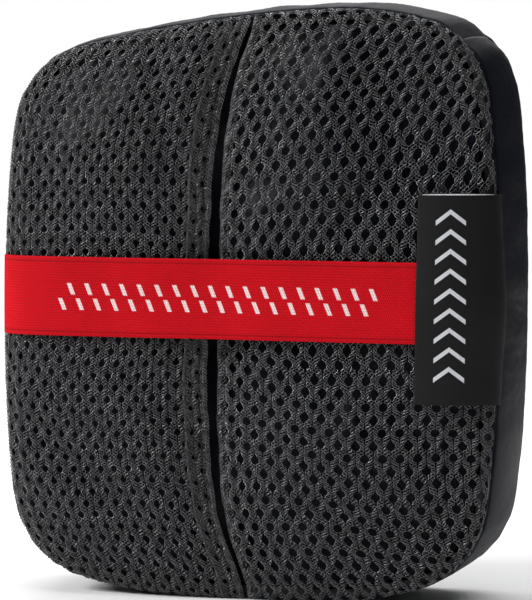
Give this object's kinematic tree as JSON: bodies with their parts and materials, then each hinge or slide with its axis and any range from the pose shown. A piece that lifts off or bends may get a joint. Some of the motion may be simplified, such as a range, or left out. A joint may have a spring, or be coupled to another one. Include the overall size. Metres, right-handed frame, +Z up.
{
  "type": "rain cover pouch",
  "caption": "Soft pouch with a two-flap mesh front and a wide red elastic band, holding a folded nylon rain cover for a motorcycle tail bag.",
  "frame": {"origin": "on the floor under the middle of the bounding box", "axes": "+Z up, the mesh front with the band and the label faces -Y, +X is the viewer's right"},
  "size_m": [0.1661, 0.054, 0.1877],
  "materials": {
    "nylon": "satin",
    "black_tape": "matte",
    "mesh_knit": "matte",
    "hem_knit": "matte",
    "red_elastic": "matte",
    "black_satin": "satin",
    "cover_nylon": "satin"
  },
  "bodies": {
    "pouch": {"back_panel": "nylon", "gusset_bottom": "nylon", "gusset_right": "nylon", "gusset_top": "nylon", "gusset_left": "nylon", "front_seam_tape": "black_tape", "back_seam_tape": "black_tape", "cover_bundle": "cover_nylon", "cover_hem_elastic": "black_tape"},
    "band": {"elastic_band": "red_elastic"},
    "left_flap": {"left_mesh_panel": "mesh_knit", "left_hem": "hem_knit", "band_left_end": "red_elastic"},
    "right_flap": {"right_mesh_panel": "mesh_knit", "right_hem": "hem_knit", "band_right_end": "red_elastic"},
    "label": {"woven_label": "black_satin"}
  },
  "joints": [
    {"name": "band_stretch", "type": "slide", "parent": "pouch", "child": "band", "axis": [0, -1, 0], "range_m": [0, 0.03], "stiffness_N_per_m": 120},
    {"name": "left_flap_swing", "type": "hinge", "parent": "pouch", "child": "left_flap", "pos_m": [-0.0805, -0.0159, 0.095], "axis": [0, 0, -1], "range_deg": [0, 21.5]},
    {"name": "right_flap_swing", "type": "hinge", "parent": "pouch", "child": "right_flap", "pos_m": [0.08065, -0.0159, 0.095], "axis": [0, 0, 1], "range_deg": [0, 21.5]},
    {"name": "label_flip", "type": "hinge", "parent": "right_flap", "child": "label", "pos_m": [0.08065, -0.0206, 0.0962], "axis": [0, 0, 1], "range_deg": [0, 110], "stiffness_Nm_per_rad": 0.0005}
  ],
  "couplings": [
    {"joint": "left_flap_swing", "follows": "band_stretch", "rad_per_m": 12.5},
    {"joint": "right_flap_swing", "follows": "band_stretch", "rad_per_m": 12.5}
  ]
}
